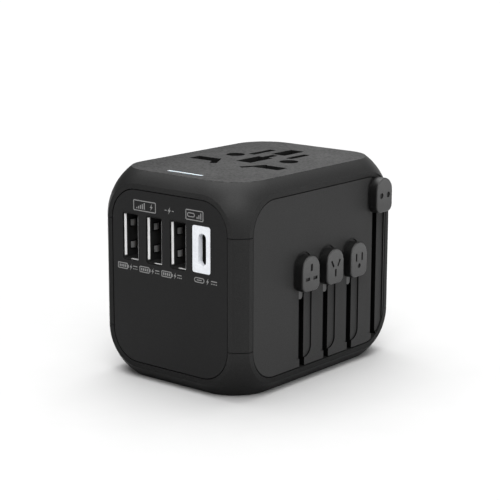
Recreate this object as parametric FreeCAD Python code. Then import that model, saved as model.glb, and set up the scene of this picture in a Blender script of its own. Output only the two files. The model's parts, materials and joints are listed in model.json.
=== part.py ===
import FreeCAD, Part
import math
import os

# Universal travel adapter: a bevelled block with a multi-standard socket on top, charging ports in
# the front, and four knobs on the right side that push the British, Australian, American and
# European plugs out of the underside.
# Millimetres. X runs across the front from left to right, Y from the front to the back, Z up.
# The origin is the middle of the underside.

V = FreeCAD.Vector

# Housing
WIDTH = 50.0
DEPTH = 68.0
HEIGHT = 57.0
BEVEL = 3.2          # leg of the bevel along every outer edge
FACE_RADIUS = 10.2   # corner radius of each flat face
RIM = 1.5            # flat rim between the bevel and the side panel
WALL = 3.0
FLOOR = 2.4
ROOF = 2.8
CAVITY_BEVEL = 0.2
CAVITY_RADIUS = 10.2
SPLIT_LOW = 13.4     # bottom cover to middle frame
SPLIT_HIGH = 43.6    # middle frame to top cover
GROOVE_TALL = 0.2    # shadow groove along both splits
GROOVE_DEEP = 0.45

# Side panels, set into pockets of the housing
PANEL_GAP = 0.22
PANEL_BED = 1.75     # depth of the pocket floor below the rim
PANEL_SUNK = 0.05    # the panel's face lies this far below the rim
PANEL_EDGE = 0.15
PANEL_TALL = HEIGHT - 2 * (BEVEL + RIM)
PANEL_RADIUS = FACE_RADIUS - RIM
PANEL_MIDDLE = HEIGHT / 2
PANEL_BOTTOM = PANEL_MIDDLE - PANEL_TALL / 2

# Charging ports, in a row with their long side upright
PORT_Z = 39.25
USB_A_X = (-13.55, -5.05, 3.45)
USB_A_CUTOUT = (5.8, 13.1)
USB_A_SHELL = (5.55, 12.85)
USB_A_METAL = 0.25
USB_A_FRONT = 0.3    # set back behind the panel's face
USB_A_LONG = 13.6
USB_A_TONGUE = (1.84, 11.1)
USB_A_TONGUE_X = 1.55  # its middle, to the right of the port's own middle
USB_A_TONGUE_END = 11.6
USB_A_WINDOW = (2.4, 3.0)  # spring windows, along the port's long side and into it
USB_A_WINDOW_UP = 3.05
USB_A_WINDOW_IN = 3.55     # middle of a window behind the shell's mouth
CONTACT_STRIP = 0.15
USB_C_X = 11.8
USB_C_SURROUND_X = 11.45
USB_C_SURROUND = (6.15, 12.5)
USB_C_MOUTH = (2.65, 8.6)
USB_C_SHELL = (3.2, 8.94)
USB_C_METAL = 0.3
USB_C_SET_BACK = 1.75
USB_C_LONG = 7.6

# Multi-standard socket in the top
EU_HOLE_X = 9.5
EU_HOLE_Y = 4.8
EU_HOLE_R = 2.65
EU_CAVITY_R = 3.2
UK_PIN_X = 11.1       # half the spacing of the line and neutral pins
UK_HOLE_X = 11.6
UK_HOLE_Y = -5.8
UK_HOLE = (8.2, 4.25)
UK_EARTH_DROP = 22.2  # from the line and neutral pins to the earth pin
UK_EARTH_HOLE = (4.8, 9.2)
AUS_HOLE_X = 6.85
AUS_HOLE_Y = -7.0
AUS_HOLE = (2.0, 7.8)
AUS_SLANT = 30.0
US_HOLE_X = 6.35
US_HOLE_Y = 12.8
US_LINE_HOLE = (2.2, 8.4)
US_NEUTRAL_HOLE = (2.2, 10.0)
CENTRE_EARTH = (5.2, 9.8)
CENTRE_EARTH_Y = 1.5
NARROW_EARTH = (2.1, 4.8)
NARROW_EARTH_Y = 8.4
CORE_X = 16.3
CORE_Y = (-12.0, 21.7)
CORE_LOW = 38.0
CONTACT_THICK = 0.8
LEAF_TALL = 8.0       # contact leaves, above the underside of the core
LEAF_THICK = 0.5

# Light bar in the top
LIGHT = (12.4, 1.35)
LIGHT_X = -0.5
LIGHT_Y = -26.6
LIGHT_BOARD_Z = (50.6, 51.6)

# Sliders
KNOB_WIDE = 7.5
KNOB_TALL = 9.7
KNOB_TOE = 2.0        # radius of the knob's lower corners
KNOB_LIFT = 0.3       # gap between the panel's rim plane and the knob
KNOB_THICK = 2.7
KNOB_EDGE = 0.55
KNOB_MARK_DEEP = 0.3
TRACK_WIDE = 8.1
TRACK_DEEP = 0.4
TRACK_LOW = 7.0
TRACK_TOE = 3.0
TRACK_HEADROOM = 0.7
RIM_NOTCH_LOW = 44.0  # above this the EU knob's track reaches into the rim
SLOT_WIDE = 2.15
TONGUE_WIDE = 1.85
TONGUE_DROP = {"uk": 2.7, "aus": 2.7, "us": 2.7, "eu": 0.0}  # tongue below each knob
STEM_X = (21.7, 24.25)
STEM_RISE = 7.0       # top of the knob's stem above the knob's lower edge
FOOT_RISE = (0.9, 6.7)
CARRIAGE_LOW = 21.5
CARRIAGE_THICK = 3.0
YOKE_X = (16.5, 21.4)  # block on each carriage that holds the knob's foot
YOKE_WIDE = 5.2
YOKE_RISE = 7.5        # top of the yoke above the knob's lower edge
POCKET_X = (17.3, 22.5)  # the foot's pocket in the yoke, open towards the side wall
FOOT_X = (20.4, 21.7)
FOOT_WIDE = 3.5
SPRING_THICK = 0.3
SPRING_WIDE = 3.0

# Plug pins on the underside
PIN_TIP = 0.9         # resting height of the pin tips above the underside
PIN_TOP = CARRIAGE_LOW + 2.0
OPENING_GAP = 0.3     # round each pin in the underside
UK_PIN_Y = -17.9
UK_PIN = (6.35, 3.95)
UK_EARTH_PIN = (3.95, 7.9)
AUS_PIN_Y = -7.5
AUS_PIN = (1.6, 6.3)
US_PIN_Y = 11.9
US_PIN = (1.5, 6.3)
US_PIN_EYE = 1.5
EU_PIN_R = 2.0
EU_BODY = (32.0, 12.0)
EU_BODY_RADIUS = 5.0
EU_BODY_Y = 22.6
EU_BODY_Z = (20.3, 36.9)
EU_ARM_X = (11.0, 18.0)
EU_ARM_Z = (37.3, 40.6)
EU_YOKE_LOW = 39.4

# Case screws
SCREW_AT = ((-17.0, -26.0), (17.0, -26.0), (-19.2, 18.75), (19.2, 18.75))
SCREW_HEAD_R = 1.9
SCREW_HEAD_TALL = 1.3
SCREW_SHANK_R = 0.93
SCREW_TOP = 14.0
POST_R = 2.3

# Circuit board
BOARD_THICK = 1.2
BOARD_TOP = PORT_Z - USB_A_SHELL[1] / 2
BOARD_X = (-19.5, 16.0)
BOARD_Y = (-30.8, -12.6)
COIL_X = (-14.0, -2.0)   # transformer
COIL_Y = (-19.6, -12.8)
COIL_R = 3.2
CAPACITOR_X = (4.5, 11.5)
CAPACITOR_R = 3.0
CAPACITOR_TALL = 11.5

# Fuse, along Y beside the socket
FUSE_AT = (-19.15, 46.0)  # X and Z
FUSE_R = 2.5
FUSE_Y = (-4.0, 16.0)
FUSE_CAP = 5.0
CLIP_LONG = 3.0

# Outward direction of each side, with the direction to the viewer's right
SIDES = {
    "front": (V(1, 0, 0), V(0, -1, 0), DEPTH / 2, WIDTH),
    "slider": (V(0, 1, 0), V(1, 0, 0), WIDTH / 2, DEPTH),
    "back": (V(-1, 0, 0), V(0, 1, 0), DEPTH / 2, WIDTH),
    "left": (V(0, -1, 0), V(-1, 0, 0), WIDTH / 2, DEPTH),
}

# Each slider: its knob's place along the side, and the knob's resting lower edge
SLIDERS = {
    "uk": (-8.6, 25.95),
    "aus": (2.1, 25.95),
    "us": (12.9, 25.95),
    "eu": (24.6, 42.2),
}


def span(centre, size):
    return (centre - size / 2, centre + size / 2)


def box(x, y, z):
    """A box between low and high along each axis."""
    return Part.makeBox(x[1] - x[0], y[1] - y[0], z[1] - z[0], V(x[0], y[0], z[0]))


def cylinder(radius, x, y, z):
    return Part.makeCylinder(radius, z[1] - z[0], V(x, y, z[0]))


def join(shapes):
    return shapes[0].multiFuse(shapes[1:]).removeSplitter()


def bar(size, x, y, z, turn=0.0):
    """An upright rectangular bar of this plan size, turned about its own axis."""
    shape = box(span(0, size[0]), span(0, size[1]), z)
    shape.rotate(V(0, 0, 0), V(0, 0, 1), turn)
    shape.translate(V(x, y, 0))
    return shape


def rounded_prism(width, tall, radius, length):
    """A prism along +Z whose outline in XY is a rounded rectangle about the origin."""
    block = Part.makeBox(width, tall, length, V(-width / 2, -tall / 2, 0))
    upright = [e for e in block.Edges if abs(e.tangentAt(e.FirstParameter).z) > 0.9]
    return block.makeFillet(radius, upright)


def arch_prism(width, low, high, toe, length):
    """A prism along +Z with an arched top at Y=high and toe-rounded corners at Y=low."""
    half = width / 2
    shoulder = high - half
    nick = toe * (1 - math.sqrt(0.5))
    edges = [
        Part.makeLine(V(-half, low + toe, 0), V(-half, shoulder, 0)),
        Part.Arc(V(-half, shoulder, 0), V(0, high, 0), V(half, shoulder, 0)).toShape(),
        Part.makeLine(V(half, shoulder, 0), V(half, low + toe, 0)),
        Part.Arc(V(half, low + toe, 0), V(half - nick, low + nick, 0), V(half - toe, low, 0)).toShape(),
    ]
    if toe < half:
        edges.append(Part.makeLine(V(half - toe, low, 0), V(toe - half, low, 0)))
    last = Part.Arc(V(toe - half, low, 0), V(nick - half, low + nick, 0), V(-half, low + toe, 0))
    edges.append(last.toShape())
    return Part.Face(Part.Wire(edges)).extrude(V(0, 0, length))


def obround_prism(width, tall, length):
    """A prism along +Z whose outline has half-round ends, about the origin."""
    return arch_prism(width, -tall / 2, tall / 2, width / 2, length)


def on_side(shape, side, across, up, depth):
    """Move a shape drawn along +Z so that it points out of a side, starting at this depth."""
    right, out, reach, _ = SIDES[side]
    base = right * across + V(0, 0, up) + out * (reach - depth)
    turn = FreeCAD.Matrix(
        right.x, 0, out.x, base.x,
        right.y, 0, out.y, base.y,
        right.z, 1, out.z, base.z,
        0, 0, 0, 1,
    )
    placed = shape.copy()
    placed.Placement = FreeCAD.Placement(turn).multiply(shape.Placement)
    return placed


def rounded_block(width, depth, height, bevel, radius, low):
    """A block with a softly crowned bevel on every edge and this corner radius on every face."""
    inset = radius + bevel
    ball = math.hypot(radius, inset)
    swell = ball - inset
    block = box(span(0, width), span(0, depth), (low, low + height))
    swollen = box(
        span(0, width + 2 * swell), span(0, depth + 2 * swell), (low - swell, low + height + swell)
    )
    return block.common(swollen.makeFillet(ball, swollen.Edges))


def panel_across(side):
    return SIDES[side][3] - 2 * (BEVEL + RIM)


def panel_pocket(side):
    outline = rounded_prism(
        panel_across(side) + PANEL_GAP, PANEL_TALL + PANEL_GAP, PANEL_RADIUS + PANEL_GAP / 2,
        PANEL_BED + BEVEL,
    )
    return on_side(outline, side, 0, PANEL_MIDDLE, PANEL_BED)


def panel_blank(side):
    """A flat plate that fills one pocket, with its front edge broken."""
    thick = PANEL_BED - PANEL_SUNK
    plate = rounded_prism(
        panel_across(side) - PANEL_GAP, PANEL_TALL - PANEL_GAP, PANEL_RADIUS - PANEL_GAP / 2, thick
    )
    front_edges = [e for e in plate.Edges if e.BoundBox.ZMin > thick - 0.01]
    return on_side(plate.makeFillet(PANEL_EDGE, front_edges), side, 0, PANEL_MIDDLE, PANEL_BED)


def grown(size, spare):
    return (size[0] + spare, size[1] + spare)


def socket_holes(z, eu_radius, spare=0.0):
    """Prisms through the top for the pins of every plug, the flat ones widened by spare."""
    holes = []
    for side, us_hole in ((-1, US_NEUTRAL_HOLE), (1, US_LINE_HOLE)):
        holes.append(cylinder(eu_radius, side * EU_HOLE_X, EU_HOLE_Y, z))
        holes.append(bar(grown(UK_HOLE, spare), side * UK_HOLE_X, UK_HOLE_Y, z))
        holes.append(bar(grown(AUS_HOLE, spare), side * AUS_HOLE_X, AUS_HOLE_Y, z, -side * AUS_SLANT))
        holes.append(bar(grown(us_hole, spare), side * US_HOLE_X, US_HOLE_Y, z))
    holes.append(bar(grown(UK_EARTH_HOLE, spare), 0, UK_HOLE_Y + UK_EARTH_DROP, z))
    holes.append(bar(grown(CENTRE_EARTH, spare), 0, CENTRE_EARTH_Y, z))
    holes.append(bar(grown(NARROW_EARTH, spare), 0, NARROW_EARTH_Y, z))
    return holes


# ---- Knob tracks and slots in the side wall

def knob_top(slider):
    return SLIDERS[slider][1] + KNOB_TALL


def knob_track(slider):
    """The shallow arched recess that a knob runs over."""
    across = SLIDERS[slider][0]
    high = knob_top(slider) + TRACK_HEADROOM
    shape = arch_prism(TRACK_WIDE, TRACK_LOW, high, TRACK_TOE, BEVEL)
    return on_side(shape, "slider", across, 0, PANEL_SUNK + TRACK_DEEP)


def rim_notch():
    """The top end of the EU knob's track, where the rim's corner rounds in towards it."""
    return knob_track("eu").common(box((0, WIDTH), (0, DEPTH), (RIM_NOTCH_LOW, HEIGHT)))


def knob_slot(slider, spare, low, start):
    """The slot that a knob's stem runs in, from this depth right through the side wall."""
    across, knob_low = SLIDERS[slider]
    wide = SLOT_WIDE + spare
    high = knob_low + STEM_RISE + 0.3 + spare / 2
    slot = arch_prism(wide, low, high, wide / 2, WALL + 0.5 - start)
    return on_side(slot, "slider", across, 0, WALL + 0.5)


# ---- Housing

def housing_shell():
    """The whole housing as one closed shell, before it is split into covers."""
    outer = rounded_block(WIDTH, DEPTH, HEIGHT, BEVEL, FACE_RADIUS, 0)
    cavity = rounded_block(
        WIDTH - 2 * WALL, DEPTH - 2 * WALL, HEIGHT - FLOOR - ROOF, CAVITY_BEVEL, CAVITY_RADIUS, FLOOR
    )
    ports = box((-17.2, 15.5), (-DEPTH / 2 - 1, 1 - DEPTH / 2 + WALL), span(PORT_Z, 13.9))
    tools = [cavity, ports, rim_notch()]
    tools += [panel_pocket(side) for side in SIDES]
    tools += [knob_slot(slider, 0.2, PANEL_BOTTOM - 0.4, PANEL_BED - 0.1) for slider in SLIDERS]
    return outer.cut(tools)


def split_groove(low):
    """A ring that leaves a thin shadow line round the outside."""
    slab = box(span(0, WIDTH + 2), span(0, DEPTH + 2), (low, low + GROOVE_TALL))
    core = rounded_block(
        WIDTH - 2 * GROOVE_DEEP, DEPTH - 2 * GROOVE_DEEP, HEIGHT - 2 * GROOVE_DEEP,
        BEVEL, FACE_RADIUS - GROOVE_DEEP, GROOVE_DEEP,
    )
    return slab.cut(core)


def layer(shell, low, high):
    """The part of the shell between two heights."""
    return shell.common(box(span(0, WIDTH + 2), span(0, DEPTH + 2), (low, high)))


def top_cover(shell):
    cover = layer(shell, SPLIT_HIGH, HEIGHT)
    through = (HEIGHT - ROOF - 1, HEIGHT + 1)
    light_slot = bar(LIGHT, LIGHT_X, LIGHT_Y, through)
    return cover.cut(socket_holes(through, EU_HOLE_R) + [light_slot])


def screw_posts(lower_cover):
    """Posts under the circuit board and beside the plugs, each tied to the nearest side wall."""
    posts = []
    for x, y in SCREW_AT:
        top = BOARD_TOP - BOARD_THICK
        post = cylinder(POST_R, x, y, (FLOOR, top))
        web = box(sorted((x, math.copysign(WIDTH / 2 - WALL + 0.3, x))), span(y, 2.0), (SPLIT_LOW, top))
        pilot = cylinder(SCREW_SHANK_R + 0.02, x, y, (FLOOR, SCREW_TOP + 1))
        posts.append(join([post, web]).cut([pilot, lower_cover]))
    return posts


def middle_frame(shell):
    frame = layer(shell, SPLIT_LOW, SPLIT_HIGH)
    frame = frame.cut([split_groove(SPLIT_LOW), split_groove(SPLIT_HIGH - GROOVE_TALL)])
    return join([frame] + screw_posts(layer(shell, 0, SPLIT_LOW)))


def plug_openings():
    """Prisms through the floor, one round each pin."""
    z = (-1, FLOOR + 1)
    spare = 2 * OPENING_GAP
    openings = [bar(grown(UK_EARTH_PIN, spare), 0, UK_PIN_Y + UK_EARTH_DROP, z)]
    for side in (-1, 1):
        openings.append(bar(grown(UK_PIN, spare), side * UK_PIN_X, UK_PIN_Y, z))
        openings.append(bar(grown(AUS_PIN, spare), side * AUS_HOLE_X, AUS_PIN_Y, z, -side * AUS_SLANT))
        openings.append(bar(grown(US_PIN, spare), side * US_HOLE_X, US_PIN_Y, z))
    boss = rounded_prism(
        EU_BODY[0] + spare, EU_BODY[1] + spare, EU_BODY_RADIUS + OPENING_GAP, FLOOR + 2
    )
    boss.translate(V(0, EU_BODY_Y, -1))
    openings.append(boss)
    return openings


def bottom_cover(shell):
    cover = layer(shell, 0, SPLIT_LOW)
    tools = plug_openings()
    for x, y in SCREW_AT:
        tools.append(cylinder(SCREW_HEAD_R + 0.2, x, y, (-1, 1.7)))
        tools.append(cylinder(SCREW_SHANK_R + 0.1, x, y, (0, FLOOR + 1)))
    return cover.cut(tools)


def front_panel():
    panel = panel_blank("front")
    tools = []
    for x in USB_A_X:
        cutout = rounded_prism(*USB_A_CUTOUT, 0.8, 2 * WALL)
        tools.append(on_side(cutout, "front", x, PORT_Z, WALL))
    surround = rounded_prism(*grown(USB_C_SURROUND, 0.1), 0.75, 2 * WALL)
    tools.append(on_side(surround, "front", USB_C_SURROUND_X, PORT_Z, WALL))
    return panel.cut(tools)


def slider_panel():
    panel = panel_blank("slider")
    tools = [knob_track(slider) for slider in SLIDERS]
    tools += [knob_slot(slider, 0, PANEL_BOTTOM - 2, -0.5) for slider in SLIDERS]
    return panel.cut(tools)


# ---- Light bar

def light_pipe():
    """A clear bar with a wider foot under the cover."""
    under = HEIGHT - ROOF
    pipe = bar(grown(LIGHT, -0.1), LIGHT_X, LIGHT_Y, (under - 0.4, HEIGHT - 0.05))
    return join([pipe, bar(grown(LIGHT, 1.2), LIGHT_X, LIGHT_Y, (under - 1.4, under))])


def light_board():
    return bar((16.0, 4.4), LIGHT_X, LIGHT_Y, LIGHT_BOARD_Z)


def status_led():
    return bar((3.2, 1.5), LIGHT_X, LIGHT_Y, (LIGHT_BOARD_Z[1], LIGHT_BOARD_Z[1] + 1.1))


# ---- Charging ports

def usb_a_shell(x):
    """A folded steel tube with two spring windows in each long side."""
    tube = rounded_prism(*USB_A_SHELL, 0.45, USB_A_LONG)
    bore = rounded_prism(*grown(USB_A_SHELL, -2 * USB_A_METAL), 0.2, USB_A_LONG)
    tube = tube.cut(bore)
    inwards = span(USB_A_LONG - USB_A_WINDOW_IN, USB_A_WINDOW[1])
    windows = [
        box(span(0, USB_A_SHELL[0] + 1), span(up, USB_A_WINDOW[0]), inwards)
        for up in (-USB_A_WINDOW_UP, USB_A_WINDOW_UP)
    ]
    return on_side(tube.cut(windows), "front", x, PORT_Z, USB_A_FRONT + USB_A_LONG)


def usb_a_tongue(x):
    """The insulator: a block across the back and a tongue beside the right wall."""
    inner = grown(USB_A_SHELL, -2 * USB_A_METAL - 0.04)
    back = rounded_prism(*inner, 0.2, 1.6)
    tongue = box(span(USB_A_TONGUE_X, USB_A_TONGUE[0]), span(0, USB_A_TONGUE[1]), (1.0, USB_A_TONGUE_END))
    return on_side(join([back, tongue]), "front", x, PORT_Z, USB_A_FRONT + USB_A_LONG)


def usb_a_contacts():
    """Four strips on the open face of each tongue."""
    strips = []
    face = USB_A_TONGUE_X - USB_A_TONGUE[0] / 2
    for x in USB_A_X:
        for up in (-3.5, -1.0, 1.0, 3.5):
            strip = box((face - CONTACT_STRIP, face), span(up, 1.1), (2.0, USB_A_TONGUE_END - 0.7))
            strips.append(on_side(strip, "front", x, PORT_Z, USB_A_FRONT + USB_A_LONG))
    return Part.makeCompound(strips)


def usb_c_surround():
    """The white insert: a plate with an obround mouth, hollowed behind for the steel shell."""
    thick = 3.0
    plate = rounded_prism(*USB_C_SURROUND, 0.7, thick)
    plate = plate.makeFillet(0.12, [e for e in plate.Edges if e.BoundBox.ZMin > thick - 0.01])
    mouth = obround_prism(*USB_C_MOUTH, thick + 1)
    pocket = obround_prism(*grown(USB_C_SHELL, 0.1), thick + PANEL_SUNK + 0.05 - USB_C_SET_BACK)
    hollow = join([mouth, pocket])
    hollow.translate(V(USB_C_X - USB_C_SURROUND_X, 0, 0))
    return on_side(plate.cut(hollow), "front", USB_C_SURROUND_X, PORT_Z, PANEL_SUNK + thick)


def usb_c_shell():
    """A steel tube on a leg that stands on the circuit board."""
    tube = obround_prism(*USB_C_SHELL, USB_C_LONG)
    leg = box(span(0, 1.6), (-USB_A_SHELL[1] / 2, 0), (1.0, 3.0))
    bore = obround_prism(*grown(USB_C_SHELL, -2 * USB_C_METAL), USB_C_LONG)
    return on_side(join([tube, leg]).cut(bore), "front", USB_C_X, PORT_Z, USB_C_SET_BACK + USB_C_LONG)


def usb_c_tongue():
    """The insulator: a plug across the back and a thin tongue down the middle."""
    back = obround_prism(*grown(USB_C_SHELL, -2 * USB_C_METAL - 0.04), 1.2)
    tongue = box(span(0, 0.7), span(0, 6.7), (0.5, USB_C_LONG - 1.0))
    return on_side(join([back, tongue]), "front", USB_C_X, PORT_Z, USB_C_SET_BACK + USB_C_LONG)


# ---- Charger and socket, inside

def charger_board():
    return box(BOARD_X, BOARD_Y, (BOARD_TOP - BOARD_THICK, BOARD_TOP))


def transformer():
    """A ferrite core above and below a round winding."""
    low, high = BOARD_TOP + 3.2, BOARD_TOP + 8.2
    foot = box(COIL_X, COIL_Y, (BOARD_TOP, low))
    winding = cylinder(COIL_R, sum(COIL_X) / 2, sum(COIL_Y) / 2, (low, high))
    lid = box(COIL_X, COIL_Y, (high, high + 2.8))
    return join([foot, winding, lid])


def capacitors():
    z = (BOARD_TOP, BOARD_TOP + CAPACITOR_TALL)
    return Part.makeCompound([cylinder(CAPACITOR_R, x, sum(COIL_Y) / 2, z) for x in CAPACITOR_X])


def socket_core():
    """The insulating block that lines every socket hole."""
    block = box(span(0, 2 * CORE_X), CORE_Y, (CORE_LOW, HEIGHT - ROOF))
    return block.cut(socket_holes((CORE_LOW - 1, HEIGHT), EU_CAVITY_R, 0.2))


def pole_contact(side):
    """A strip under the core on one side, with a leaf up into each pin cavity."""
    z = (CORE_LOW - CONTACT_THICK, CORE_LOW)
    leaf = (z[0], CORE_LOW + LEAF_TALL)
    strip = box(sorted((side * 4.6, side * 15.0)), (-9.5, 16.6), z)
    uk_leaf = bar((3.0, LEAF_THICK), side * UK_HOLE_X, UK_HOLE_Y - UK_HOLE[1] / 2 + 0.4, leaf)
    eu_leaf = bar((LEAF_THICK, 2.2), side * (EU_HOLE_X - EU_CAVITY_R + 0.6), EU_HOLE_Y, leaf)
    us_leaf = bar((LEAF_THICK, 4.0), side * (US_HOLE_X + 0.8), US_HOLE_Y, leaf)
    return join([strip, uk_leaf, eu_leaf, us_leaf])


def earth_contact():
    z = (CORE_LOW - CONTACT_THICK, CORE_LOW)
    leaf = (z[0], CORE_LOW + LEAF_TALL)
    uk_earth_y = UK_HOLE_Y + UK_EARTH_DROP
    strip = box((-2.6, 2.6), (-3.5, 20.4), z)
    centre_leaf = bar((3.0, LEAF_THICK), 0, CENTRE_EARTH_Y - CENTRE_EARTH[1] / 2 + 0.45, leaf)
    uk_leaf = bar((3.0, LEAF_THICK), 0, uk_earth_y + UK_EARTH_HOLE[1] / 2 - 0.45, leaf)
    return join([strip, centre_leaf, uk_leaf])


def rod_y(radius, y):
    """A rod along the fuse's axis."""
    return Part.makeCylinder(radius, y[1] - y[0], V(FUSE_AT[0], y[0], FUSE_AT[1]), V(0, 1, 0))


def fuse():
    """A ceramic tube with a metal cap over each end."""
    front_cap = rod_y(FUSE_R, (FUSE_Y[0], FUSE_Y[0] + FUSE_CAP))
    back_cap = rod_y(FUSE_R, (FUSE_Y[1] - FUSE_CAP, FUSE_Y[1]))
    return join([rod_y(FUSE_R - 0.15, FUSE_Y), front_cap, back_cap])


def fuse_clips():
    """Two spring clips, open at the top."""
    clips = []
    for low in (FUSE_Y[0] + 1, FUSE_Y[1] - 1 - CLIP_LONG):
        y = (low, low + CLIP_LONG)
        mouth = box(span(FUSE_AT[0], 3.0), y, (FUSE_AT[1], FUSE_AT[1] + 4))
        clips.append(rod_y(FUSE_R + 0.3, y).cut([rod_y(FUSE_R, y), mouth]))
    return Part.makeCompound(clips)


def case_screws():
    screws = []
    for x, y in SCREW_AT:
        head = cylinder(SCREW_HEAD_R, x, y, (0.4, 0.4 + SCREW_HEAD_TALL))
        cross = [bar((2.2, 0.45), x, y, (0, 1.0), turn) for turn in (0, 90)]
        shank = cylinder(SCREW_SHANK_R, x, y, (0.4 + SCREW_HEAD_TALL, SCREW_TOP))
        screws.append(join([head.cut(cross), shank]))
    return Part.makeCompound(screws)


# ---- Carriages, pins and knobs

def yoke(slider, low):
    """The block that carries a knob's foot."""
    across, knob_low = SLIDERS[slider]
    return box(YOKE_X, span(across, YOKE_WIDE), (low, knob_low + YOKE_RISE))


def yoke_pocket(slider):
    """The space for the knob's foot and tongue, open towards the side wall."""
    across, knob_low = SLIDERS[slider]
    foot = foot_z(slider)
    high = foot[1] + 0.3
    pocket = box(POCKET_X, span(across, FOOT_WIDE + 0.4), (foot[0] - 0.3, high))
    tongue_low = knob_low - TONGUE_DROP[slider] - 0.4
    relief = box((FOOT_X[0] + 0.1, POCKET_X[1]), span(across, SLOT_WIDE + 0.1), (tongue_low, high))
    return [pocket, relief]


def foot_z(slider):
    """Heights of the knob's foot."""
    knob_low = SLIDERS[slider][1]
    return (knob_low + FOOT_RISE[0], knob_low + FOOT_RISE[1])


def carriage(slider, plates, pins):
    """A moulded carriage: flat plates at pin height, the knob's yoke, and a socket for each pin."""
    z = (CARRIAGE_LOW, CARRIAGE_LOW + CARRIAGE_THICK)
    body = join([box(x, y, z) for x, y in plates] + [yoke(slider, CARRIAGE_LOW)])
    return body.cut(yoke_pocket(slider) + pins)


def tipped(pin, tip):
    """Bevel the edges round a pin's tip."""
    return pin.makeChamfer(tip, [e for e in pin.Edges if e.BoundBox.ZMax < PIN_TIP + 0.01])


def uk_pin(side):
    return tipped(bar(UK_PIN, side * UK_PIN_X, UK_PIN_Y, (PIN_TIP, PIN_TOP)), 1.0)


def uk_earth_pin():
    return tipped(bar(UK_EARTH_PIN, 0, UK_PIN_Y + UK_EARTH_DROP, (PIN_TIP, PIN_TOP)), 1.0)


def aus_blade(side):
    blade = tipped(bar(AUS_PIN, 0, 0, (PIN_TIP, PIN_TOP)), 0.4)
    blade.rotate(V(0, 0, 0), V(0, 0, 1), -side * AUS_SLANT)
    blade.translate(V(side * AUS_HOLE_X, AUS_PIN_Y, 0))
    return blade


def us_blade(side):
    blade = tipped(bar(US_PIN, side * US_HOLE_X, US_PIN_Y, (PIN_TIP, PIN_TOP)), 0.4)
    eye = Part.makeCylinder(US_PIN_EYE, WIDTH, V(-WIDTH / 2, US_PIN_Y, PIN_TIP + 3.6), V(1, 0, 0))
    return blade.cut(eye)


def eu_pin(side):
    pin = cylinder(EU_PIN_R, side * EU_HOLE_X, EU_BODY_Y, (PIN_TIP + 0.3, EU_BODY_Z[0] + 8))
    return pin.makeFillet(1.4, [e for e in pin.Edges if e.BoundBox.ZMax < PIN_TIP + 0.31])


def eu_carriage(pins):
    """The round-ended European plug body, with an arm from its top to the knob's yoke."""
    body = rounded_prism(*EU_BODY, EU_BODY_RADIUS, EU_BODY_Z[1] - EU_BODY_Z[0])
    body = body.makeFillet(0.8, [e for e in body.Edges if e.BoundBox.ZMax < 0.01])
    body.translate(V(0, EU_BODY_Y, EU_BODY_Z[0]))
    beside_knob = span(SLIDERS["eu"][0], YOKE_WIDE)
    riser = box((-12.0, 12.0), beside_knob, (EU_BODY_Z[1] - 1, EU_ARM_Z[1]))
    arm = box(EU_ARM_X, beside_knob, EU_ARM_Z)
    return join([body, riser, arm, yoke("eu", EU_YOKE_LOW)]).cut(yoke_pocket("eu") + pins)


def knob_mark(slider):
    """A small sunk pictogram of the slider's own pins, about the middle of the knob."""
    marks = {
        "uk": [(0.9, 1.9, 0, 1.7, 0), (1.8, 0.9, -1.6, -1.3, 0), (1.8, 0.9, 1.6, -1.3, 0)],
        "aus": [(0.7, 2.1, -1.4, 0.9, 30), (0.7, 2.1, 1.4, 0.9, -30), (0.7, 2.1, 0, -1.7, 0)],
        "us": [(0.7, 2.2, -1.3, 0.7, 0), (0.7, 2.2, 1.3, 0.7, 0)],
        "eu": [],
    }
    dots = {"us": [(0, -1.7, 0.65)], "eu": [(-1.6, 0, 0.8), (1.6, 0, 0.8)]}
    tools = []
    for wide, tall, x, y, turn in marks[slider]:
        tools.append(bar((wide, tall), x, y, (0, 1), turn))
    for x, y, radius in dots.get(slider, []):
        tools.append(cylinder(radius, x, y, (0, 1)))
    return tools


def knob(slider):
    """The finger knob with its stem, tongue and retaining foot, all one moulding."""
    across, low = SLIDERS[slider]
    cap = arch_prism(KNOB_WIDE, low, low + KNOB_TALL, KNOB_TOE, KNOB_THICK)
    cap = cap.makeFillet(KNOB_EDGE, [e for e in cap.Edges if e.BoundBox.ZMin > KNOB_THICK - 0.01])
    cap = on_side(cap, "slider", across, 0, -KNOB_LIFT)
    middle = low + KNOB_TALL / 2
    mark_depth = KNOB_MARK_DEEP - KNOB_LIFT - KNOB_THICK
    cap = cap.cut([on_side(tool, "slider", across, middle, mark_depth) for tool in knob_mark(slider)])
    reach = WIDTH / 2
    high = low + STEM_RISE
    stem_low = low - TONGUE_DROP[slider]
    stem = arch_prism(TONGUE_WIDE, stem_low, high, TONGUE_WIDE / 2, STEM_X[1] - STEM_X[0])
    stem = on_side(stem, "slider", across, 0, reach - STEM_X[0])
    neck_x = (STEM_X[1] - 0.05, reach + KNOB_LIFT + 0.1)
    neck = box(neck_x, span(across, TONGUE_WIDE), (low + 0.9, high - 1.0))
    foot = box(FOOT_X, span(across, FOOT_WIDE), foot_z(slider))
    return join([cap, stem, neck, foot])


def knob_spring(slider):
    """A half-round leaf spring between the back of the yoke's pocket and the knob's foot."""
    across, low = SLIDERS[slider]
    middle = low + sum(FOOT_RISE) / 2
    outer = FOOT_X[0] - POCKET_X[0] - 0.05
    centre = V(POCKET_X[0], across - SPRING_WIDE / 2, middle)
    ring = Part.makeCylinder(outer, SPRING_WIDE, centre, V(0, 1, 0))
    ring = ring.cut(Part.makeCylinder(outer - SPRING_THICK, SPRING_WIDE, centre, V(0, 1, 0)))
    half = box((POCKET_X[0] + 0.02, WIDTH), span(across, SPRING_WIDE), span(middle, 2 * outer))
    return ring.common(half)


# ---- All the pieces

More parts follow.
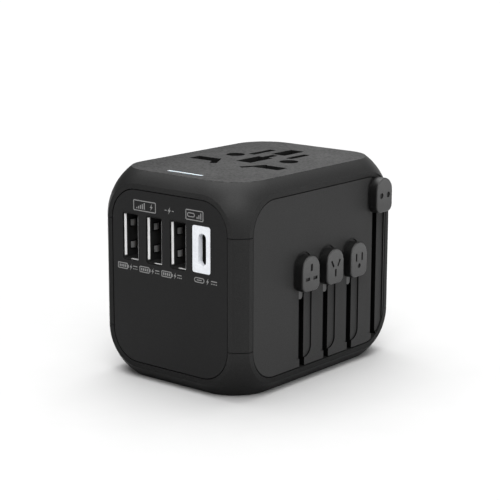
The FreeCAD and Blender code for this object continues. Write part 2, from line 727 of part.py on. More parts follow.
def build_parts():
    shell = housing_shell()
    parts = {
        "top_cover": top_cover(shell),
        "middle_frame": middle_frame(shell),
        "bottom_cover": bottom_cover(shell),
        "front_panel": front_panel(),
        "slider_panel": slider_panel(),
        "back_panel": panel_blank("back"),
        "left_panel": panel_blank("left"),
        "light_pipe": light_pipe(),
        "light_board": light_board(),
        "status_led": status_led(),
        "usb_a_contacts": usb_a_contacts(),
        "usb_c_surround": usb_c_surround(),
        "usb_c_shell": usb_c_shell(),
        "usb_c_tongue": usb_c_tongue(),
        "charger_board": charger_board(),
        "transformer": transformer(),
        "capacitors": capacitors(),
        "socket_core": socket_core(),
        "line_contact": pole_contact(1),
        "neutral_contact": pole_contact(-1),
        "earth_contact": earth_contact(),
        "fuse": fuse(),
        "fuse_clips": fuse_clips(),
        "case_screws": case_screws(),
    }
    for number, x in enumerate(USB_A_X, 1):
        parts[f"usb_a_shell_{number}"] = usb_a_shell(x)
        parts[f"usb_a_tongue_{number}"] = usb_a_tongue(x)
    for slider in SLIDERS:
        parts[f"{slider}_knob"] = knob(slider)
        parts[f"{slider}_knob_spring"] = knob_spring(slider)
    for name, side in (("line", 1), ("neutral", -1)):
        parts[f"uk_{name}_pin"] = uk_pin(side)
        parts[f"aus_{name}_blade"] = aus_blade(side)
        parts[f"us_{name}_blade"] = us_blade(side)
        parts[f"eu_{name}_pin"] = eu_pin(side)
    parts["uk_earth_pin"] = uk_earth_pin()
    uk_plates = [
        ((-20.6, 17.0), (-20.6, -15.2)), ((16.5, 21.4), (-20.6, -6.0)),
        ((-20.6, -16.0), (-20.6, 7.4)), ((-20.6, 2.6), (1.4, 7.4)),
    ]
    aus_plates = [((-9.6, 15.8), (-10.6, -4.4)), ((12.0, 21.4), (-4.9, 4.7))]
    us_plates = [((-9.0, 21.4), (8.7, 15.4))]
    parts["uk_carriage"] = carriage(
        "uk", uk_plates, [parts["uk_line_pin"], parts["uk_neutral_pin"], parts["uk_earth_pin"]]
    )
    parts["aus_carriage"] = carriage(
        "aus", aus_plates, [parts["aus_line_blade"], parts["aus_neutral_blade"]]
    )
    parts["us_carriage"] = carriage(
        "us", us_plates, [parts["us_line_blade"], parts["us_neutral_blade"]]
    )
    parts["eu_carriage"] = eu_carriage([parts["eu_line_pin"], parts["eu_neutral_pin"]])
    return parts


def main():
    os.makedirs("parts", exist_ok=True)
    for name, shape in build_parts().items():
        solids = len(shape.Solids)
        print(f"{name:22s} solids {solids}  volume {shape.Volume:9.1f}  valid {shape.isValid()}")
        shape.exportStep(f"parts/{name}.step")


main()
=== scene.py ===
import json
import math

import bmesh
import bpy
from mathutils import Matrix, Vector


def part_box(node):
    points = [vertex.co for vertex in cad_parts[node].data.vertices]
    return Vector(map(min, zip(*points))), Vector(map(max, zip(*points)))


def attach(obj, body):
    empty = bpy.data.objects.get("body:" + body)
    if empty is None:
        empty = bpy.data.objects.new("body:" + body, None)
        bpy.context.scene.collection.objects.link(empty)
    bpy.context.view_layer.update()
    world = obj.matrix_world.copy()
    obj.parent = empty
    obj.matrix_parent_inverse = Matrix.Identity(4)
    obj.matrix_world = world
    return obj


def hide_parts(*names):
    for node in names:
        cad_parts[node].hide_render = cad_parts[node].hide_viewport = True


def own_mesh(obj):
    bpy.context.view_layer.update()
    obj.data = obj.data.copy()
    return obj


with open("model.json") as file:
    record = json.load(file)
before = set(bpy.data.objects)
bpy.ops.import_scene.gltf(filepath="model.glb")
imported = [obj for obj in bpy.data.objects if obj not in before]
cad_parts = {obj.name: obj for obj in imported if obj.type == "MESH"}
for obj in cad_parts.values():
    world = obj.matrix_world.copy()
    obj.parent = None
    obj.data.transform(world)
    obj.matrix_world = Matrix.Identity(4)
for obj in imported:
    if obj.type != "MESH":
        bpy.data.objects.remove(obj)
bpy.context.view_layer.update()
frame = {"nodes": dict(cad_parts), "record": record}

# Looks for the universal travel adapter: moulded black housing, printed marks, charging ports,
# plated pins and a pale studio. Lengths are in metres, and the printed marks are laid out in
# millimetres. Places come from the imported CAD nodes.

MM = 0.001

# Camera
CAMERA_AZIMUTH = math.radians(39.494)    # turned to the right of the port face
CAMERA_ELEVATION = math.radians(12.869)
CAMERA_ROLL = math.radians(0.161)
CAMERA_PLACE = Vector((0.2704, -0.3284, 0.1288))
CAMERA_LENS = 112.6                      # in millimetres, as is the sensor's width
CAMERA_SENSOR = 36.0
CAMERA_NEAR = 10 * MM

# Faces of the CAD model from which finishes and marks are placed
FRONT_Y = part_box("front_panel")[0].y
PANEL_FACE_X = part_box("slider_panel")[1].x
TOP_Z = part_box("top_cover")[1].z
KNOB_FRONT_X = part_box("uk_knob")[1].x

# Moulded plastic
FLOW = 12 * MM                           # broad flow marks, which change the gloss
FLOW_STRETCH = (1, 1, 0.6)
GRAIN_DEPTH = 0.006 * MM
PITS_SIZE, PITS_DEPTH = 2.7, 0.8         # in grains, and in depths of the grain
BLUE_TINT = 0.02                         # of the panels and the carriages

# Covers, with painted shade low down and to the left, where their sheen is cut
COVER_GRAIN, COVER_GRAIN_DEPTH = 0.3 * MM, 0.018 * MM
COVER_PITS, COVER_PITS_DEPTH = 0.8 * MM, 0.014 * MM
COVER_ROUGHNESS = (0.42, 0.5)
SHEEN_UP = (2 * MM, 12 * MM)             # heights over which the covers gain their sheen
SHEEN_ACROSS = (-33 * MM, 4 * MM)        # and places from left to right
SHEEN_FOOT, SHEEN_LEFT = 0.3, 0.35       # share of the sheen below those heights, and left of those places: painted shade
SPECKLE = 0.7 * MM
SPECKLE_UP = (TOP_Z - 0.3 * MM, TOP_Z - 0.1 * MM)  # heights over which the speckle of the top sets in
SPECKLE_SHEEN = (0.4, 1.6)

# Slider panel, with painted shade down its edges and in its slots
SLOTTED_GRAIN = 0.2 * MM
SLOTTED_ROUGHNESS = (0.45, 0.52)
SLOT_DARK = (0.42 * MM, 0.9 * MM)        # depths at which painted shade on a slot's walls starts, and is full
SLOT_PAINTED_SHADES = (0.0015, 0.0025)
SLOT_SHEEN = 0.25                        # share of the panel's sheen on its edges and walls in painted shade
EDGE_TURN = (0.35, 0.85)                 # the normal's X where an edge is in full painted shade, and where it's as the face

# Plastic of the knobs
KNOB_GRAIN = 0.25 * MM
KNOB_ROUGHNESS = (0.36, 0.46)
KNOB_BLEND = 0.05 * MM                   # width of the change from one finish to another
KNOB_FACE_X = KNOB_FRONT_X - 0.12 * MM   # behind this the sides are black, and the marks black as painted shade
SLOT_MOUTH_X = PANEL_FACE_X - 0.5 * MM   # behind this comes the grey tongue in the slot
KNOB_SHADING = (0.72, 1.2)               # painted light and shade: darker on the lower part of a knob, lighter at its head
KNOB_SHADING_UP = (0.25, 1.0)            # heights of those, as shares of the knob's height
TONGUE_SHADES = (1.3, 1.7)               # of a knob's face shade

# Metal
BRUSHED = 0.4 * MM                       # fine lines
BRUSHED_DEPTH = 0.003 * MM

# Charging ports
PORTS = ("usb_a_shell_1", "usb_a_shell_2", "usb_a_shell_3")
PORT_METAL = 0.25 * MM     # wall of a port's steel shell
PORT_LIP = 0.6 * MM        # depth of the rolled lip at its mouth
LIP_START = 0.32 * MM      # from the shell's outside to the lip on the left
LIP_LEFT = 0.2 * MM        # how far the lip turns in on each side; its head doesn't
LIP_RIGHT = 0.12 * MM
LIP_FOOT = 0.05 * MM
LIP_EDGE = 0.03 * MM       # flat front of the lip
LIP_RADIUS = 0.18 * MM     # of the lip's corners
LIP_TAIL = 1.2             # depth of the lip's back, in depths of the lip
TAB_LONG = 1.9 * MM        # spring tabs in the shell's windows
TAB_TALL = 1.7 * MM
TAB_UP = 3.05 * MM         # above and below the port's middle
TAB_DEEP = 3.55 * MM       # middle of a tab behind the mouth
TAB_THICK = 0.12 * MM
TAB_RISE = 0.3 * MM
TAB_BEND = ((-0.5, -0.2), (-0.1, 1.0), (0.15, 1.0), (0.5, 0.1))  # shares of a tab's length and rise

# Painted light on a lip: shares of its width and height where its painted highlight and painted shade
# change
LIT_LEFT_ENDS = (0.3, 0.34)      # bright to the left of these
LIT_LEFT_FOOT = (0.05, 0.075)    # and between these heights
LIT_LEFT_HEAD = (0.965, 0.985)
LIT_RIGHT_STARTS = (0.42, 0.5)   # fainter to the right of these
LIT_RIGHT_HEAD = (0.93, 0.97)    # and below these
LIT_RIGHT = 0.6

# Knobs and their springs
KNOBS = ("uk", "aus", "us", "eu")

# Printed marks on the front, in millimetres across and up
INK = 0.02 * MM                    # thickness of the ink, in metres
STROKE = 0.24
OVER_A = (-8.35, 48.1)             # middles of the marks over the ports
OVER_MIDDLE = (0.45, 48.05)
OVER_C = (9.2, 48.0)
UNDER_A = (-18.5, -10.55, -2.6)    # left ends of the groups under the USB-A ports
UNDER_A_Z = 30.9
UNDER_C = (9.0, 31.1)              # left end of the group under the white port, and its height
BOLT = ((0.16, 0.5), (-0.26, -0.08), (-0.02, -0.08), (-0.16, -0.5), (0.26, 0.08), (0.02, 0.08))

# Studio: direction of each soft light, its strength, and the cosines where it starts and is full.
# A negative strength is a dark card.
STUDIO_BASE = 0.38
STUDIO = (
    ((-0.22, 0.2, 0.94), 4.9, 0.7, 1.0),
    ((0.4, -0.5, 0.85), 8.0, 0.92, 1.0),
    ((0.97, -0.25, 0.1), 1.3, 0.6, 1.0),
    ((-0.8, 0.5, 0.2), -0.34, 0.3, 0.9),
    ((-0.45, 0.88, 0.0), 0.8, 0.78, 1.0),
)
FLOOR_SIZE = 6.0
FLOOR_SHADES = (0.47, 0.48)


# ---- Material building blocks

class Nodes:
    """A material's node tree, with short helpers for what every surface here needs."""

    def __init__(self, name):
        self.material = bpy.data.materials.new(name)
        self.material.use_nodes = True
        self.tree = self.material.node_tree
        self.shader = self.tree.nodes["Principled BSDF"]
        self.place = self.add("ShaderNodeTexCoord").outputs["Object"]

    def add(self, kind, **settings):
        node = self.tree.nodes.new(kind)
        for key, value in settings.items():
            setattr(node, key, value)
        return node

    def link(self, source, target):
        self.tree.links.new(source, target)

    def split(self, vector):
        """The X, Y and Z of a vector."""
        node = self.add("ShaderNodeSeparateXYZ")
        self.link(vector, node.inputs[0])
        return node.outputs

    def generated(self):
        """The place on the piece, from 0 to 1 along each axis."""
        return self.split(self.add("ShaderNodeTexCoord").outputs["Generated"])

    def noise(self, size, detail=3.0, roughness=0.55, stretch=(1, 1, 1)):
        """Noise whose features are about this many metres across."""
        mapping = self.add("ShaderNodeMapping")
        mapping.inputs["Scale"].default_value = stretch
        self.link(self.place, mapping.inputs["Vector"])
        node = self.add("ShaderNodeTexNoise")
        node.inputs["Scale"].default_value = 1.0 / size
        node.inputs["Detail"].default_value = detail
        node.inputs["Roughness"].default_value = roughness
        self.link(mapping.outputs["Vector"], node.inputs["Vector"])
        return node.outputs["Fac"]

    def flow(self):
        """The broad marks that plastic leaves as it flows into its mould."""
        return self.noise(FLOW, 3.0, 0.5, FLOW_STRETCH)

    def ramp(self, value, low, high, start=0.3, end=0.7):
        """A value turned into a colour between two colours."""
        node = self.add("ShaderNodeValToRGB")
        node.color_ramp.elements[0].position = start
        node.color_ramp.elements[0].color = (*low, 1)
        node.color_ramp.elements[1].position = end
        node.color_ramp.elements[1].color = (*high, 1)
        self.link(value, node.inputs["Fac"])
        return node.outputs["Color"]

    def shades(self, value, shade, amount, tint=0.0):
        """Greys that stray from a shade by up to this share of it."""
        return self.ramp(value, grey(shade * (1 - amount), tint), grey(shade * (1 + amount), tint))

    def spread(self, value, low, high, start=0.25, end=0.75):
        """A value mapped onto a range."""
        node = self.add("ShaderNodeMapRange")
        node.inputs["From Min"].default_value = start
        node.inputs["From Max"].default_value = end
        node.inputs["To Min"].default_value = low
        node.inputs["To Max"].default_value = high
        self.link(value, node.inputs["Value"])
        return node.outputs["Result"]

    def times(self, one, two):
        """A node's value times a number or another node's value."""
        node = self.add("ShaderNodeMath", operation="MULTIPLY")
        self.link(one, node.inputs[0])
        if isinstance(two, float):
            node.inputs[1].default_value = two
        else:
            self.link(two, node.inputs[1])
        return node.outputs[0]

    def mix(self, factor, one, two, blend="MIX"):
        """Two colours mixed by a number or by a node's value."""
        node = self.add("ShaderNodeMix", data_type="RGBA", blend_type=blend)
        if isinstance(factor, float):
            node.inputs["Factor"].default_value = factor
        else:
            self.link(factor, node.inputs["Factor"])
        self.link(one, node.inputs[6])
        self.link(two, node.inputs[7])
        return node.outputs[2]

    def bump(self, layers):
        """Stack (height source, height in metres) layers into the shader's normal."""
        normal = None
        for source, height in layers:
            node = self.add("ShaderNodeBump")
            node.inputs["Distance"].default_value = height
            node.inputs["Strength"].default_value = 1.0
            self.link(source, node.inputs["Height"])
            if normal is not None:
                self.link(normal, node.inputs["Normal"])
            normal = node.outputs["Normal"]
        self.link(normal, self.shader.inputs["Normal"])

    def feed(self, **sources):
        """Link nodes' values to the shader's sockets."""
        for key, source in sources.items():
            self.link(source, self.shader.inputs[key.replace("_", " ")])

    def set(self, **values):
        """Put plain numbers and colours on the shader's sockets."""
        for key, value in values.items():
            self.shader.inputs[key.replace("_", " ")].default_value = value


def grey(value, tint=0.0):
    """A grey, with this share more blue."""
    return (value, value, value * (1 + tint))


def moulded(name, shade, grain, rough, specular=0.4):
    """Moulded plastic: spark-eroded grain, faint flow marks and small changes of gloss."""
    m = Nodes(name)
    fine = m.noise(grain, 2.0, 0.6)
    pits = m.noise(grain * PITS_SIZE, 2.0, 0.5)
    m.feed(Base_Color=m.shades(fine, shade, 0.22, BLUE_TINT), Roughness=m.spread(m.flow(), *rough))
    m.set(Specular_IOR_Level=specular)
    m.bump([(pits, GRAIN_DEPTH * PITS_DEPTH), (fine, GRAIN_DEPTH)])
    return m.material


def housing_plastic(name, shade, specular):
    """Moulded plastic for the covers: speckled on top, with painted shade low down and to the left, where
    its sheen is cut.
    """
    m = Nodes(name)
    fine = m.noise(COVER_GRAIN, 2.0, 0.6)
    pits = m.noise(COVER_PITS, 2.0, 0.5)
    axes = m.split(m.place)
    # Painted shade: the sheen falls off low down and to the left
    upwards = m.spread(axes["Z"], SHEEN_FOOT, 1.0, *SHEEN_UP)
    across = m.spread(axes["X"], SHEEN_LEFT, 1.0, *SHEEN_ACROSS)
    speckled = m.add("ShaderNodeMix", data_type="FLOAT")
    m.link(m.spread(axes["Z"], 0, 1, *SPECKLE_UP), speckled.inputs[0])
    speckled.inputs[2].default_value = 1.0
    m.link(m.spread(m.noise(SPECKLE, 1.0, 0.5), *SPECKLE_SHEEN, 0.3, 0.7), speckled.inputs[3])
    sheen = m.times(m.times(upwards, across), speckled.outputs[0])
    m.feed(
        Base_Color=m.shades(fine, shade, 0.3),
        Roughness=m.spread(m.flow(), *COVER_ROUGHNESS),
        Specular_IOR_Level=m.times(sheen, specular),
    )
    m.bump([(pits, COVER_PITS_DEPTH), (fine, COVER_GRAIN_DEPTH)])
    return m.material


def smooth_plastic(name, low, high, rough=(0.22, 0.32)):
    """Glossier plastic with a faint ripple."""
    m = Nodes(name)
    broad = m.noise(4 * MM)
    fine = m.noise(0.6 * MM, 2.0)
    m.feed(Base_Color=m.ramp(broad, low, high), Roughness=m.spread(fine, *rough))
    m.bump([(fine, 0.004 * MM)])
    return m.material


def slotted_plastic(name, shade, specular):
    """The slider side's panel: moulded, with painted shade down its edges and the walls of its slots."""
    m = Nodes(name)
    fine = m.noise(SLOTTED_GRAIN, 2.0, 0.6)
    # Painted shade: near black deep in the slots and where the surface turns away from the panel's face
    start, dark = SLOT_DARK
    shallow = m.spread(m.split(m.place)["X"], 0, 1, PANEL_FACE_X - dark, PANEL_FACE_X - start)
    normal = m.split(m.add("ShaderNodeNewGeometry").outputs["Normal"])
    outside = m.times(shallow, m.spread(normal["X"], 0, 1, *EDGE_TURN))
    painted_slot_shade = m.ramp(fine, *(grey(value) for value in SLOT_PAINTED_SHADES))
    m.feed(
        Base_Color=m.mix(outside, painted_slot_shade, m.shades(fine, shade, 0.2)),
        Roughness=m.spread(m.flow(), *SLOTTED_ROUGHNESS),
        Specular_IOR_Level=m.times(m.spread(outside, SLOT_SHEEN, 1.0, 0, 1), specular),
    )
    m.bump([(fine, GRAIN_DEPTH)])
    return m.material


def knob_plastic(name, face, body):
    """Satin grey on the knob's face and its tongue in the slot, black down its sides, and black in its
    marks as painted shade; the face has painted light at its head and painted shade lower down.
    """
    m = Nodes(name)
    fine = m.noise(KNOB_GRAIN, 2.0, 0.6)
    along = m.split(m.place)["X"]
    on_face = m.spread(along, 0, 1, KNOB_FACE_X - KNOB_BLEND, KNOB_FACE_X)
    in_slot = m.spread(along, 1, 0, SLOT_MOUTH_X - KNOB_BLEND, SLOT_MOUTH_X)
    # Painted light from above: the face lighter towards the knob's head
    shading = m.ramp(m.generated()["Z"], *(grey(value) for value in KNOB_SHADING), *KNOB_SHADING_UP)
    front = m.mix(1.0, m.shades(fine, face, 0.16), shading, "MULTIPLY")
    tongue = m.ramp(fine, *(grey(face * value) for value in TONGUE_SHADES))
    # Black sides, and painted shade in the marks
    outside = m.mix(on_face, m.shades(fine, body, 0.2), front)
    m.feed(Base_Color=m.mix(in_slot, outside, tongue), Roughness=m.spread(m.noise(6 * MM), *KNOB_ROUGHNESS))
    m.set(Specular_IOR_Level=0.35)
    m.bump([(fine, 0.008 * MM)])
    return m.material


def ink(name, low, high):
    """Pad-printed ink, slightly uneven."""
    m = Nodes(name)
    patchy = m.noise(0.5 * MM)
    m.feed(Base_Color=m.ramp(patchy, low, high), Roughness=m.spread(patchy, 0.5, 0.65))
    m.set(Specular_IOR_Level=0.3)
    m.bump([(patchy, 0.002 * MM)])
    return m.material


def lip_metal(name, highlight, shadowed):
    """Steel with a painted highlight on a lip's left side, fainter on its right and foot, and painted shade
    at its head.
    """
    m = Nodes(name)
    lines = m.noise(BRUSHED, 3.0, 0.6, (1, 1, 0.08))
    place = m.generated()
    across, up = place["X"], place["Z"]
    # Painted highlight: bright on the lip's left side, fainter on its right, with painted shade at its head
    inner = m.times(m.spread(up, 0, 1, *LIT_LEFT_FOOT), m.spread(up, 1, 0, *LIT_LEFT_HEAD))
    left = m.times(m.spread(across, 1, 0, *LIT_LEFT_ENDS), inner)
    right = m.times(
        m.spread(across, 0, 1, *LIT_RIGHT_STARTS), m.spread(up, LIT_RIGHT, 0, *LIT_RIGHT_HEAD)
    )
    bright = m.add("ShaderNodeMath", operation="MAXIMUM")
    m.link(left, bright.inputs[0])
    m.link(right, bright.inputs[1])
    bright = bright.outputs[0]
    highlight_colour = m.ramp(lines, grey(highlight * 0.9), grey(highlight * 1.05))
    m.feed(
        Base_Color=m.mix(bright, m.shades(lines, shadowed, 0.2), highlight_colour),
        Roughness=m.spread(lines, 0.26, 0.4),
        Metallic=m.spread(bright, 0.0, 0.25, 0, 1),
    )
    m.set(Specular_IOR_Level=0.1)
    m.bump([(lines, BRUSHED_DEPTH)])
    return m.material


def metal(name, low, high, rough, stretch, metallic=1.0, specular=0.5):
    """Metal with fine lines along one direction; dull plating is partly metallic."""
    m = Nodes(name)
    lines = m.noise(BRUSHED, 3.0, 0.6, stretch)
    m.feed(Base_Color=m.ramp(m.noise(3 * MM), low, high), Roughness=m.spread(lines, *rough))
    m.set(Metallic=metallic, Specular_IOR_Level=specular)
    m.bump([(lines, BRUSHED_DEPTH)])
    return m.material


def glowing(name, low, high):
    """Frosted light bar, faintly lit from inside."""
    m = Nodes(name)
    frost = m.noise(0.3 * MM, 2.0)
    m.feed(Base_Color=m.ramp(frost, low, high), Roughness=m.spread(frost, 0.35, 0.5))
    m.set(Subsurface_Weight=0.3, Emission_Color=(1, 1, 1, 1), Emission_Strength=0.08)
    m.bump([(frost, 0.004 * MM)])
    return m.material


MATERIALS = {
    "housing_black": housing_plastic("housing_black", 0.010, 0.18),
    "slider_black": slotted_plastic("slider_black", 0.028, 0.11),
    "panel_black": moulded("panel_black", 0.0105, 0.2 * MM, (0.45, 0.52), 0.12),
    "knob_grey": knob_plastic("knob_grey", 0.052, 0.003),
    "carriage_black": moulded("carriage_black", 0.010, 0.4 * MM, (0.5, 0.6)),
    "port_white": smooth_plastic("port_white", (0.68, 0.70, 0.74), (0.76, 0.78, 0.82)),
    "light_diffuser": glowing("light_diffuser", (0.46, 0.47, 0.47), (0.56, 0.57, 0.57)),
    # Painted shade: the ports' steel shells are near black, as the shade inside the ports
    "port_steel": metal("port_steel", grey(0.012), grey(0.02), (0.5, 0.6), (1, 0.08, 1), 0.1, 0.1),
    # The lips: a painted highlight over steel in painted shade
    "lip_steel": lip_metal("lip_steel", 0.95, 0.012),
    "tab_steel": metal("tab_steel", grey(0.16), grey(0.26), (0.4, 0.55), (1, 0.08, 1), 0.5),
    "print_grey": ink("print_grey", grey(0.18), grey(0.24)),
    "port_black": smooth_plastic("port_black", grey(0.006), grey(0.012), (0.35, 0.5)),
    "contact_gold": metal("contact_gold", (0.78, 0.55, 0.24), (0.88, 0.66, 0.34), (0.2, 0.34), (1, 0.1, 1)),
    "pin_nickel": metal("pin_nickel", (0.60, 0.58, 0.54), (0.74, 0.72, 0.68), (0.16, 0.3), (1, 1, 0.06)),
    "board_green": smooth_plastic("board_green", (0.012, 0.07, 0.03), (0.02, 0.11, 0.05)),
    "component_grey": smooth_plastic("component_grey", grey(0.05), grey(0.09), (0.4, 0.55)),
    "fuse_ceramic": smooth_plastic("fuse_ceramic", (0.70, 0.67, 0.60), (0.80, 0.78, 0.72)),
    "screw_steel": metal("screw_steel", grey(0.28), grey(0.40), (0.3, 0.45), (1, 1, 1)),
    "spring_steel": metal("spring_steel", grey(0.45), grey(0.55), (0.25, 0.4), (1, 1, 1)),
}


def dress_nodes():
    """Give every CAD node the finish of its material slot."""
    slots = {part["node"]: part["material_slot"] for part in frame["record"]["subparts"]}
    for name, obj in frame["nodes"].items():
        obj.data.materials.clear()
        obj.data.materials.append(MATERIALS[slots[name]])


# ---- Pieces

def add_piece(name, build, material):
    """Turn a bmesh into an object that rides on the housing, made of a material."""
    bmesh.ops.recalc_face_normals(build, faces=build.faces)
    mesh = bpy.data.meshes.new(name)
    build.to_mesh(mesh)
    build.free()
    piece = bpy.data.objects.new(name, mesh)
    piece.data.materials.append(MATERIALS[material])
    bpy.context.scene.collection.objects.link(piece)
    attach(piece, "housing")


def loft(build, loops, closed=False):
    """Join loops of points, all equally long, by faces, and cap the ends unless closed."""
    rings = [[build.verts.new(point) for point in loop] for loop in loops]
    if closed:
        rings.append(rings[0])
    else:
        build.faces.new(rings[0])
        build.faces.new(reversed(rings[-1]))
    for one, two in zip(rings, rings[1:]):
        for i in range(len(one)):
            j = (i + 1) % len(one)
            build.faces.new((one[i], one[j], two[j], two[i]))


def rounded_rectangle(x, z, wide, tall, radius, steps=4):
    """Points (x, z) round a rectangle with rounded corners, about a middle."""
    points = []
    for corner, (sx, sz) in enumerate(((1, 1), (-1, 1), (-1, -1), (1, -1))):
        for step in range(steps + 1):
            angle = math.radians(90 * (corner + step / steps))
            points.append((
                x + sx * (wide / 2 - radius) + radius * math.cos(angle),
                z + sz * (tall / 2 - radius) + radius * math.sin(angle),
            ))
    return points


def at_depth(points, y):
    """Points (x, z) placed at one depth."""
    return [(x, y, z) for x, z in points]


class Print:
    """Flat ink shapes on the front panel. Places and sizes are in millimetres, across and up."""

    def __init__(self):
        self.build = bmesh.new()
        self.back = FRONT_Y
        self.front = FRONT_Y - INK

    def fill(self, points):
        """A filled shape inside an outline."""
        points = [(x * MM, z * MM) for x, z in points]
        loft(self.build, [at_depth(points, self.front), at_depth(points, self.back)])

    def bar(self, x, z, wide, tall=STROKE):
        """A filled rectangle."""
        self.fill([
            (x - wide / 2, z - tall / 2), (x + wide / 2, z - tall / 2),
            (x + wide / 2, z + tall / 2), (x - wide / 2, z + tall / 2),
        ])

    def outline(self, x, z, wide, tall, radius):
        """A rounded frame one stroke wide."""
        sizes = ((wide, tall, radius), (wide - 2 * STROKE, tall - 2 * STROKE, max(radius - STROKE, 0.05)))
        outer, inner = ([(px * MM, pz * MM) for px, pz in rounded_rectangle(x, z, *size)] for size in sizes)
        loft(self.build, [
            at_depth(outer, self.back), at_depth(outer, self.front),
            at_depth(inner, self.front), at_depth(inner, self.back),
        ], closed=True)

    def bolt(self, x, z, tall):
        """A lightning bolt."""
        self.fill([(x + px * tall, z + pz * tall) for px, pz in BOLT])

    def battery(self, x, z, wide, tall, bars=4, margin=0.45):
        """A full battery lying on its side, its bars this far inside its outline."""
        self.outline(x, z, wide, tall, radius=0.3)
        self.bar(x + wide / 2 + 0.22, z, 0.3, tall * 0.45)
        pitch = (wide - 2 * margin) / bars
        for i in range(bars):
            self.bar(x - wide / 2 + margin + pitch * (i + 0.5), z, pitch * 0.6, tall - 1.0)

    def direct_current(self, x, z, wide, apart=0.7):
        """A line over three dashes."""
        self.bar(x, z + apart / 2, wide)
        for i in (-1, 0, 1):
            self.bar(x + i * wide * 0.38, z - apart / 2, wide * 0.24)

    def steps(self, x, z, wide, tall, count):
        """Bars that grow from left to right."""
        pitch = wide / count
        for i in range(count):
            height = tall * (i + 1) / count
            self.bar(x - wide / 2 + pitch * (i + 0.5), z - tall / 2 + height / 2, pitch * 0.5, height)


def add_front_print():
    """Generic charging marks above and below the ports."""
    marks = Print()
    x, z = OVER_A
    marks.outline(x, z, wide=8.1, tall=2.9, radius=0.35)
    marks.steps(x - 1.45, z, wide=3.4, tall=1.7, count=5)
    marks.bolt(x + 2.4, z, tall=1.9)
    x, z = OVER_MIDDLE
    marks.bolt(x, z, tall=2.0)
    for side in (-1.25, 1.25):
        marks.bar(x + side, z, wide=0.65)
    x, z = OVER_C
    marks.outline(x, z, wide=6.1, tall=2.8, radius=0.35)
    marks.outline(x - 1.2, z, wide=2.6, tall=1.2, radius=0.55)
    marks.steps(x + 1.55, z, wide=1.9, tall=1.6, count=3)
    for left in UNDER_A:
        marks.battery(left + 1.9, UNDER_A_Z, wide=3.6, tall=1.7)
        marks.bolt(left + 4.9, UNDER_A_Z, tall=1.8)
        marks.direct_current(left + 6.5, UNDER_A_Z, wide=1.5)
    left, z = UNDER_C
    marks.outline(left + 1.75, z, wide=3.5, tall=1.4, radius=0.65)
    marks.bar(left + 1.75, z, wide=1.7)
    marks.bolt(left + 4.6, z, tall=1.8)
    marks.direct_current(left + 6.8, z, wide=2.0)
    add_piece("front_print", marks.build, "print_grey")


def add_port_lip(port):
    """The rolled lip round the mouth of a port."""
    low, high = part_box(port)
    left, right = low.x + LIP_START, high.x - PORT_METAL
    foot, head = low.z + PORT_METAL, high.z - PORT_METAL

    def ring(turn_in, edge, depth):
        """The lip's outline where this share of it has turned in."""
        x = (left + turn_in * LIP_LEFT + edge, right - turn_in * LIP_RIGHT - edge)
        z = (foot + turn_in * LIP_FOOT + edge, head - edge)
        outline = rounded_rectangle(sum(x) / 2, sum(z) / 2, x[1] - x[0], z[1] - z[0], LIP_RADIUS)
        return at_depth(outline, low.y + depth)

    build = bmesh.new()
    loft(build, [
        ring(0, 0, -LIP_EDGE), ring(0, LIP_EDGE, -LIP_EDGE),
        ring(1, LIP_EDGE, PORT_LIP), ring(0, 0, PORT_LIP * LIP_TAIL),
    ], closed=True)
    add_piece(f"{port}_lip", build, "lip_steel")


def add_port_tabs(port):
    """Two spring tabs in the left wall of a port and two in its right, each bent into the opening."""
    low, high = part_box(port)
    z = (low.z + high.z) / 2
    build = bmesh.new()
    for wall, inward in ((low.x + PORT_METAL, 1), (high.x - PORT_METAL, -1)):
        for up in (-TAB_UP, TAB_UP):
            upper = [
                (wall + inward * rise * TAB_RISE, low.y + TAB_DEEP + along * TAB_LONG)
                for along, rise in TAB_BEND
            ]
            under = [(x - inward * TAB_THICK, y) for x, y in reversed(upper)]
            profile = upper + under
            loft(build, [
                [(x, y, z + up - TAB_TALL / 2) for x, y in profile],
                [(x, y, z + up + TAB_TALL / 2) for x, y in profile],
            ])
    add_piece(f"{port}_tabs", build, "tab_steel")


def add_knob_spring(knob):
    """The spring under a knob, as a piece carried by the knob's plug."""
    node, joint = f"{knob}_knob_spring", f"{knob}_knob_press"
    spring = bpy.data.objects.new(f"{knob}_spring", frame["nodes"][node].data.copy())
    bpy.context.scene.collection.objects.link(spring)
    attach(spring, f"{knob}_plug")
    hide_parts(node)
    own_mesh(spring)


# ---- Studio

def camera_axes():
    """The camera's right, up and backward directions."""
    back = Vector((
        math.sin(CAMERA_AZIMUTH) * math.cos(CAMERA_ELEVATION),
        -math.cos(CAMERA_AZIMUTH) * math.cos(CAMERA_ELEVATION),
        math.sin(CAMERA_ELEVATION),
    ))
    level = Vector((math.cos(CAMERA_AZIMUTH), math.sin(CAMERA_AZIMUTH), 0))
    up = back.cross(level)
    right = level * math.cos(CAMERA_ROLL) + up * math.sin(CAMERA_ROLL)
    return right, back.cross(right), back


def add_camera():
    """The camera, right of the port face and a little above the object."""
    data = bpy.data.cameras.new("camera")
    data.lens = CAMERA_LENS
    data.sensor_width = CAMERA_SENSOR
    data.clip_start = CAMERA_NEAR
    camera = bpy.data.objects.new("camera", data)
    right, up, back = camera_axes()
    camera.matrix_world = Matrix((
        (right.x, up.x, back.x, CAMERA_PLACE.x),
        (right.y, up.y, back.y, CAMERA_PLACE.y),
        (right.z, up.z, back.z, CAMERA_PLACE.z),
        (0, 0, 0, 1),
    ))
    bpy.context.scene.collection.objects.link(camera)
    bpy.context.scene.camera = camera


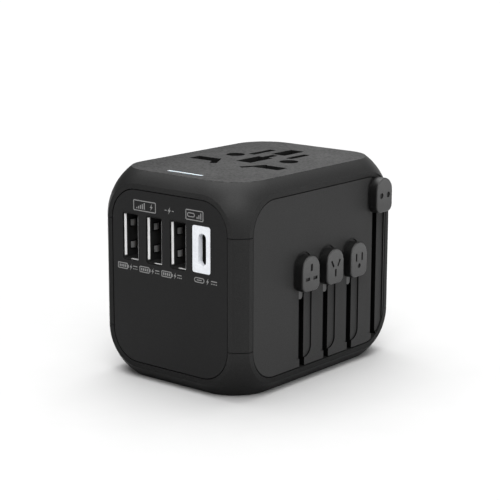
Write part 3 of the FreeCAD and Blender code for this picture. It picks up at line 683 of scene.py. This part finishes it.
def add_floor():
    """A pale floor that reaches far behind the object."""
    mesh = bpy.data.meshes.new("floor")
    build = bmesh.new()
    bmesh.ops.create_grid(build, x_segments=2, y_segments=2, size=FLOOR_SIZE)
    build.to_mesh(mesh)
    build.free()
    floor = bpy.data.objects.new("floor", mesh)
    bpy.context.scene.collection.objects.link(floor)
    m = Nodes("floor_paper")
    m.feed(Base_Color=m.ramp(m.noise(20 * MM), *(grey(value) for value in FLOOR_SHADES)))
    m.set(Roughness=0.9, Specular_IOR_Level=0.0)
    floor.data.materials.append(m.material)


def add_world():
    """Soft boxes: strong overhead, weaker on the slider side and at the back, on an even base."""
    world = bpy.data.worlds.new("studio")
    world.use_nodes = True
    tree = world.node_tree
    direction = tree.nodes.new("ShaderNodeTexCoord").outputs["Generated"]
    total = None
    for (x, y, z), strength, edge, core in STUDIO:
        dot = tree.nodes.new("ShaderNodeVectorMath")
        dot.operation = "DOT_PRODUCT"
        dot.inputs[1].default_value = Vector((x, y, z)).normalized()
        tree.links.new(direction, dot.inputs[0])
        lobe = tree.nodes.new("ShaderNodeMapRange")
        lobe.interpolation_type = "SMOOTHSTEP"
        lobe.inputs["From Min"].default_value = edge
        lobe.inputs["From Max"].default_value = core
        lobe.inputs["To Min"].default_value = 0.0
        lobe.inputs["To Max"].default_value = strength
        tree.links.new(dot.outputs["Value"], lobe.inputs["Value"])
        add = tree.nodes.new("ShaderNodeMath")
        tree.links.new(lobe.outputs["Result"], add.inputs[0])
        if total is None:
            add.inputs[1].default_value = STUDIO_BASE
        else:
            tree.links.new(total, add.inputs[1])
        total = add.outputs[0]
    background = tree.nodes["Background"]
    background.inputs["Color"].default_value = (1, 1, 1, 1)
    tree.links.new(total, background.inputs["Strength"])
    bpy.context.scene.world = world


dress_nodes()
add_front_print()
for port in PORTS:
    add_port_lip(port)
    add_port_tabs(port)
for knob in KNOBS:
    add_knob_spring(knob)
add_floor()
add_world()
add_camera()
bpy.context.scene.view_settings.view_transform = "Standard"
